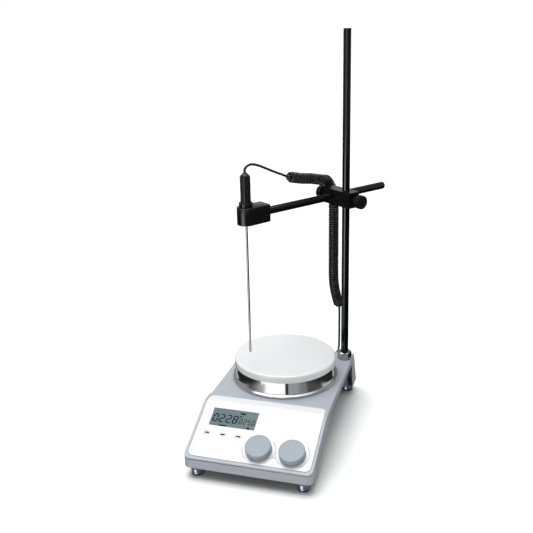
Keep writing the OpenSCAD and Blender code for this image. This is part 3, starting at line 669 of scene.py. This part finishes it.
SOCKET = REAR.at(45, 18 / np.cos(LEAN), 0)
plug_profile = [(0.01, -8), (3.9, -8), (4.3, -7.6), (4.3, 2.2), (4.7, 2.3), (5, 2.6)]
for z in np.arange(4.2, 19, 1.6):
    plug_profile += [(5, z), (4.65, z + 0.25), (4.65, z + 0.75), (5, z + 1.0)]
plug_profile += [(5, 19.8), (4.7, 20.3), (4.2, 20.6)]
for z in np.arange(21.4, 31, 1.5):
    wide = 4.2 - 2.0 * (z - 20.2) / 11.8
    plug_profile += [(wide, z), (wide - 0.5, z + 0.2), (wide - 0.5, z + 0.7), (wide, z + 0.9)]
plug_profile += [(2.2, 32), (0.01, 32)]
plug = shown("sensor_plug_body", [turned_solid(plug_profile, SOCKET, 40)], "plastic", "base",
             ["sensor_plug"], 30)

crossing(lead, lead_line)
crossing(top, top_line)
crossing(drop, drop_line)
crossing(tail, tail_line)


# ---------- Housing ----------

rolled_copy("housing_shell", "housing", "shell", "base", 1.1, clamp=False)
rolled_copy("panel_bezel", "bezel", "shell", "base", 1.0, clamp=False)
rolled_copy("front_overlay", "overlay", "overlay", "base", 0.22, segments=2)
rolled_copy("recessed_case", "lower_case", "slate", "base", 0.8)
rolled_copy("vented_cover", "bottom_cover", "slate", "base", 0.5, segments=2)


def each_foot(make):
    """The parts of a solid that stands under each of the four feet."""
    return [make(BENCH.at(sx * 66.5, y, 0)) for sx in (-1, 1) for y in (-162, 95)]


foot_profile = np.concatenate([
    [(0.01, 2)], arc((6.9, 2.9), 0.9, -90, 0, 4), [(7.8, 4.4), (7.55, 4.7), (7.55, 5.1), (7.8, 5.4)],
    arc((6.6, 8.5), 1.2, 0, 90, 5), [(5.4, 9.8), (5.3, 10.1), (5.3, 11.5), (0.01, 11.5)]])
shown("foot_barrels", each_foot(lambda p: turned_solid(foot_profile, p, 48)), "foot", "base",
      ["feet"], 30)
pad_profile = [(4, 0), (6.6, 0), (7.0, 0.25), (7.2, 0.6), (7.2, 2), (4, 2)]


shown("foot_soles", each_foot(lambda p: turned_ring(pad_profile, p, 48)), "rubber", "base",
      ["foot_pads"])


# ---------- Display, keys and knobs ----------

rolled_copy("display_face", "display_window", "display", "base", 0.15, segments=2)
STROKES = {"0": "abcdef", "2": "abged", "5": "afgcd", "8": "abcdefg"}


def stroke(start, end, thick):
    """A bar with pointed ends between two points."""
    start, end = np.array(start, float), np.array(end, float)
    along = (end - start) / np.linalg.norm(end - start)
    across = np.array([-along[1], along[0]]) * thick / 2
    a, b = start + along * 0.12, end - along * 0.12
    tip = along * thick / 2
    return [a, a + tip - across, b - tip - across, b, b - tip + across, a + tip + across]


def digit(mark, x, y, width, height, thick):
    """Seven-segment strokes of one leaning digit whose lower left corner is at x, y."""
    lean = 0.07
    spots = {k: (x + u * width + v * height * lean, y + v * height) for k, (u, v) in {
        "a": (0, 1), "b": (1, 1), "c": (0, 0.5), "d": (1, 0.5), "e": (0, 0), "f": (1, 0)}.items()}
    runs = {"a": "ab", "b": "db", "c": "fd", "d": "ef", "e": "ec", "f": "ca", "g": "cd"}
    return [stroke(spots[runs[s][0]], spots[runs[s][1]], thick) for s in STROKES[mark]]


def lit(outlines, place, low, high):
    """Thin prisms on outlines."""
    return [pressed(np.array(o), low, high, place) for o in outlines]


digits = []
for mark, x in zip("0228", (-60.2, -51.8, -43.1, -34.6)):
    digits += digit(mark, x, 57.5, 5.1, 10.6, 1.9)
for mark, x in zip("0250", (-25.9, -20.3, -14.9, -9.7)):
    digits += digit(mark, x, 57.8, 2.8, 7.0, 1.05)
boxes = [(-36.8, 57.4, 1.6, 1.6), (-10.8, 57.9, 1.0, 1.0), (-23.9, 72.6, 6.8, 2.6), (-25.5, 68.3, 3.0, 1.9),
         (-45.2, 51.9, 9.2, 2.5), (-12.5, 52.4, 4.3, 2.6)]
digits += [slab(w, h, min(w, h) * 0.25) + (x, y) for x, y, w, h in boxes]
shown("display_digits", lit(digits, PANEL, -0.31, -0.27), "segment", "base")

for word, x in KEY_X.items():
    spot = PANEL.at(x, KEY_Y, 0)
    cap = pressed(slab(9, 5, 1.0), -1.2, 0.1, spot, 0.1, 0.3)
    stem = turned_solid(rounded_bar(1.5, -3.55, -1.1, 0.2), spot, 24)
    shown(f"{word}_key_cap", [cap, stem], "key", f"{word}_key", [f"key_{word}"])
    shown(f"{word}_key_bar", [pressed(slab(5.4, 2.0, 0.3), -0.1, 0.3, spot)], "ink",
          f"{word}_key")

rolled_copy("indicator_lens", "status_light", "lens", "base", 0.15, segments=2)

# Bore, underside, slightly tapered rim and a dished face that is 0.2 mm lower in the middle.
dish = np.linspace(13.4, 0.01, 9)
knob_profile = np.concatenate([
    [(0.01, 5.4), (3.02, 5.4), (3.02, 1.5), (5.1, 1.5), (5.1, 0.15), (5.3, 0)],
    arc((15.5, 0.5), 0.5, -90, 0, 4), [(15.9, 3.5)], arc((14.6, 6.7), 1.2, 0, 84, 7),
    [(14.2, 7.97), (13.8, 7.75)], np.stack([dish, 7.5 + 0.2 * (dish / 13.4) ** 2], -1)])
for word, x in KNOB_X.items():
    shown(f"{word}_knob_cap", [turned_solid(knob_profile, PANEL.at(x, KNOB_Y, 0.6), 96)], "knob",
          f"{word}_control", [f"{word}_knob"], 38)


# ---------- Plate on its skirt ----------

plate_profile = np.concatenate([
    [(0.01, PLATE_LOW), (66.7, PLATE_LOW), (67.3, PLATE_LOW + 0.3), (67.5, PLATE_LOW + 0.8)],
    [(67.5, PLATE_TOP - 3)], arc((64.5, PLATE_TOP - 3), 3.0, 6, 90, 9),
    [(60, PLATE_TOP), (30, PLATE_TOP), (0.01, PLATE_TOP)]])
shown("ceramic_plate", [turned_solid(plate_profile, BENCH, 160)], "glaze", "base",
      ["heating_plate"], 40)

# The wall hollows a little as it falls from radius 62.9 under the plate to 66.9, where the lip starts.
fall = np.linspace(1, 0, 15)
skirt_profile = np.concatenate([
    [(61.9, PLATE_LOW), (62.4, PLATE_LOW), (62.9, 81.4)],
    np.stack([66.9 - 4.0 * fall ** 0.8, 65.9 + 15.5 * fall], -1)[1:], arc((69.2, 63.8), 1.8, 118, -80, 14),
    [(68.6, 62.05), (67.8, 62.3), (67.3, 63.6), (65.9, 65.9), (63.9, 74.0)]])
shown("polished_skirt", [turned_ring(skirt_profile[::-1], BENCH, 192)], "chrome", "base",
      ["plate_skirt"], 40)


# ---------- Support rod and its foot ----------

NUT_LOW, NUT_TOP = DECK + 2, DECK + 10
washer_profile = [(5.05, DECK), (10, DECK), (10, DECK + 1.2), (9.7, DECK + 1.7), (9.2, NUT_LOW),
                  (5.05, NUT_LOW)]
shown("rod_base", [turned_ring(washer_profile, ROD, 64)], "boss", "base", ["rod_washer"], 30)


def nut_rings(width, turn, n):
    """Rings of a hexagon nut, from its bore's foot round the outside to its bore's top and back. The outside
    is half the width over the cosine of the angle from the middle of a flat, its corners cut by cones."""
    angle = np.linspace(0, TAU, n, endpoint=False)
    sixth = TAU / 6
    side = width / 2 / np.cos(np.mod(angle - turn, sixth) - sixth / 2)
    bore, level, washer_face = np.full(n, 5.06), np.full(n, 1.0), 8.35
    levels = [(bore, NUT_LOW * level), (side, NUT_LOW + np.maximum(0, side - 8.9) * 0.5),
              (side, NUT_TOP - np.maximum(0, side - washer_face) * 0.55),
              (np.minimum(side, washer_face) - 0.05, NUT_TOP * level), (bore, (NUT_TOP - 0.4) * level)]
    return np.array([np.stack([radius * np.cos(angle), radius * np.sin(angle), height], -1)
                     for radius, height in levels + levels[:1]])


shown("rod_hex_nut", [skin(ROD.on(nut_rings(17, np.radians(12), 96)), caps=False)], "steel", "base",
      ["rod_nut"], 22)

shown("upright_rod", [turned_solid(rounded_bar(ROD_R, 52, ROD_TOP, 1.1), ROD, 64)], "rod", "rod",
      ["support_rod"], 50)
cross = turned(ARM.at(0, CROSS_Y, 0), "x")
shown("cross_rod_bar", [turned_solid(rounded_bar(ROD_R, -130, 87, 1.0), cross, 64)], "rod", "arm",
      ["cross_rod"], 50)
rolled_copy("boss_block", "boss_head", "cast", "boss", 0.9)


def grooves(count, depth, middle, half):
    """Swell that cuts round grooves into the rim of a grip, between middle - half and middle + half."""
    def swell(angle, height):
        wave = np.maximum(0, np.cos(angle * count)) ** 3
        return 1 - depth * wave * (np.abs(height - middle) < half)
    return swell


def thumb(name, place, stem, body, node):
    """Thumb screw along Z of its place: stem, neck, and a grooved grip with a dished face."""
    neck, grip = stem + 0.3, stem + 8
    levels = np.linspace(grip + 0.9, grip + 7.1, 7)
    profile = np.concatenate([
        [(0.01, 0), (2.3, 0), (2.5, 0.3), (2.5, neck), (4.2, neck), (4.5, neck + 0.3), (4.5, grip - 0.1)],
        [(8.0, grip), (8.6, grip + 0.25), (9, grip + 0.7)], np.stack([np.full(7, 9.0), levels], -1),
        [(9, grip + 7.4), (8.6, grip + 7.8), (7.9, grip + 8), (6.6, grip + 8), (6.2, grip + 7.6),
         (0.01, grip + 7.4)]])
    shown(name, [turned_solid(profile, place, 180, grooves(18, 0.08, grip + 4, 3.4))], "plastic", body,
          [node], 30)


# Each screw starts on its rod and leaves the boss block, which spans -15.5 to 35 along the arm's Y.
thumb("rod_thumb_screw", turned(ARM.at(0, -5.1, 0), "-y"), 15.5 - 5.1, "rod_thumb", "rod_screw")
thumb("arm_thumb_screw", turned(ARM.at(0, 24.6, 0), "y"), 35 - 24.6, "arm_thumb", "arm_screw")


# ---------- Sensor and its clamp ----------

# A round nose about the sensor and two rounded corners towards the boss; the third corner isn't used.
nose = np.radians(np.linspace(90, 270, 32))
clamp_r, clamp_half = 11.5, 11.2
tail_corners = rounded_outline([(30, -clamp_r, 1.2), (30, clamp_r, 1.2), (5, 0, 1)], 6)[:12]
clamp_outline = np.concatenate([np.stack([clamp_r * np.cos(nose), clamp_r * np.sin(nose)], -1), tail_corners])
clamp_block = pressed(clamp_outline, ARM_Z - clamp_half, ARM_Z + clamp_half, SENSOR, 1.0, 1.0)
shown("sensor_clamp_block", [clamp_block], "cast", "arm", ["sensor_clamp"], 35)

tip = 108
probe_profile = np.concatenate([arc((0, tip + 1.5), 1.5, -89, 0, 7), [(1.5, 316.2), (0.01, 316.2)]])
probe_profile[0, 0] = 0.01
shown("probe_tube", [turned_solid(probe_profile, SENSOR, 32)], "drawn", "sensor",
      ["sensor_probe"], 40)

collar_z = 304.3
collar_profile = np.concatenate([
    [(1.5, collar_z), (8.1, collar_z)], arc((8.0, collar_z + 0.6), 0.6, -60, 0, 4), [(8.6, collar_z + 4.6)],
    arc((7.8, collar_z + 4.8), 0.8, 0, 90, 4), [(1.5, collar_z + 5.6)]])
shown("sensor_collar_ring", [turned_ring(collar_profile, SENSOR, 64)], "plastic", "sensor",
      ["sensor_collar"], 35)


def facets(count):
    """Swell that turns a circle into a polygon with soft corners: 1 / cos of the angle from the middle of a
    flat, up to a limit. It fades to round over the grip's shoulder."""
    part, shoulder, fade = TAU / count, 342.6, 1.4

    def swell(angle, height):
        soft = np.minimum(1 / np.cos(np.mod(angle, part) - part / 2), 1.045)
        return 1 + (soft - 1) * np.clip((shoulder + fade - height) / fade, 0, 1)
    return swell


grip_profile = [(0.01, 309.9), (5.7, 309.9), (6.2, 310.4)]
for z in np.arange(313.0, 339.0, 3.2):
    grip_profile += [(6.2, z), (5.95, z + 0.3), (5.95, z + 0.9), (6.2, z + 1.2)]
grip_profile += [(6.2, 342.2), (5.9, 342.9), (3.6, 345.4), (2.7, 345.8), (2.6, 346.7), (2.3, 347),
                 (0.01, 347)]
shown("sensor_grip", [turned_solid(grip_profile, SENSOR, 64, facets(8))], "plastic", "sensor",
      ["sensor_handle"], 25)


# ---------- Rear wall ----------

rolled_copy("rear_plate", "rear_panel", "slate", "base", 0.3, segments=2)
rolled_copy("inlet_body", "power_inlet", "plastic", "base", 0.5)
rolled_copy("inlet_contacts", "inlet_pins", "brass", "base", 0.3, segments=2)
rolled_copy("switch_frame", "rocker_frame", "plastic", "base", 0.4)
rolled_copy("switch_rocker", "power_rocker", "plastic", "rocker", 0.5)
rolled_copy("fuse_tray", "fuse_drawer", "plastic", "drawer", 0.4)
ring_profile = [(4.4, -9), (4.4, 1.7), (4.7, 2.0), (7.0, 2.0), (7.6, 1.8), (8, 1.3), (8, 0), (6, 0), (6, -12),
                (0.01, -12), (0.01, -9)]
shown("socket_shell", [turned_ring(ring_profile, SOCKET, 64)], "alloy", "base",
      ["sensor_socket"], 30)


# ---------- Pieces kept from the frame ----------

KEPT = {
    "steel": "cover_screws foot_screws heat_encoder speed_encoder board_pillars motor_bracket motor_bearings "
             "motor_shaft heat_shaft speed_shaft",
    "board": "control_board power_board", "plastic": "display_module key_switches power_supply",
    "laminate": "motor_housing", "ceramic": "plate_pillars insulation_disc", "mica": "heater_ring",
    "alloy": "magnet_carrier", "magnet": "drive_magnets",
}
for finish, nodes in KEPT.items():
    for node in nodes.split():
        mesh = frame["nodes"][node].data
        mesh.materials.clear()
        mesh.materials.append(FINISH[finish])


# ---------- Floor and light ----------

def floor():
    """A wide pale floor."""
    mesh = bpy.data.meshes.new("floor")
    reach = 40
    mesh.from_pydata([(-reach, -reach, 0), (reach, -reach, 0), (reach, reach, 0), (-reach, reach, 0)], [],
                     [(0, 1, 2, 3)])
    finish = Finish("pale_floor", specular=0.1)
    cloud = finish.noise(0.6, 2.0)
    finish.feed(base_color=finish.mix(cloud, (0.86, 0.86, 0.86), (0.9, 0.9, 0.9)),
                roughness=0.7 + cloud * 0.1)
    mesh.materials.append(finish.material)
    made = bpy.data.objects.new("floor", mesh)
    bpy.context.scene.collection.objects.link(made)
    made.visible_glossy = False


def sunlight(name, source, spread, power):
    """A soft sun that shines from the direction of source."""
    data = bpy.data.lights.new(name, "SUN")
    data.energy, data.angle = power, np.radians(spread)
    lamp = bpy.data.objects.new(name, data)
    z = np.array(source, float) / np.linalg.norm(source)
    x = np.cross((0, 0, 1), z) / np.linalg.norm(np.cross((0, 0, 1), z))
    turn = np.eye(4)
    turn[:3, :3] = np.array([x, np.cross(z, x), z]).T
    lamp.matrix_world = Matrix(turn.tolist())
    bpy.context.scene.collection.objects.link(lamp)


def surroundings():
    """Studio under a bright ceiling: its walls change from dark to bright at set bearings, and only shiny
    faces see below the floor's level, where one bright strip stands."""
    world = bpy.data.worlds.new("studio")
    world.use_nodes = True
    bpy.context.scene.world = world
    studio = Nodes(world.node_tree)
    x, y, z = studio.parts(studio.node("ShaderNodeTexCoord", {}, {})["Generated"])
    bearing = y.math("ARCTAN2", x)
    level = wall = 0.3
    # Bearing of each edge in radians, half its softness, and how bright the wall is after it.
    for edge, soft, bright in ((-2.9, 0.15, 0.1), (-2.45, 0.3, 0.45), (-2.1, 0.12, 1.3),
                               (-1.31, 0.012, 0.02), (-1.19, 0.015, 0.35), (-0.75, 0.12, 0.22),
                               (-0.45, 0.1, 0.08), (0.25, 0.1, 0.5), (1.2, 0.2, 0.2), (1.5, 0.2, 0.75),
                               (2.5, 0.2, 0.3)):
        wall = bearing.step(edge - soft, edge + soft) * (bright - level) + wall
        level = bright
    strip = bearing.step(-2.36, -2.22) * bearing.step(-1.6, -1.72) * 3.6 + 0.02
    height, below = z.step(0.15, 0.4), z.step(-0.08, -0.16)
    light = wall * (1 - height) * (1 - below) + strip * below + height * 0.26 + z.step(0.78, 0.92) * 1.5
    grey = studio.node("ShaderNodeCombineColor", {}, {0: light, 1: light, 2: light})[0]
    studio.plug(world.node_tree.nodes["Background"].inputs["Color"], grey)


floor()
surroundings()
sunlight("key", (-0.2, 0.14, 1), 44, 2.2)
bpy.context.scene.view_settings.view_transform = "Standard"
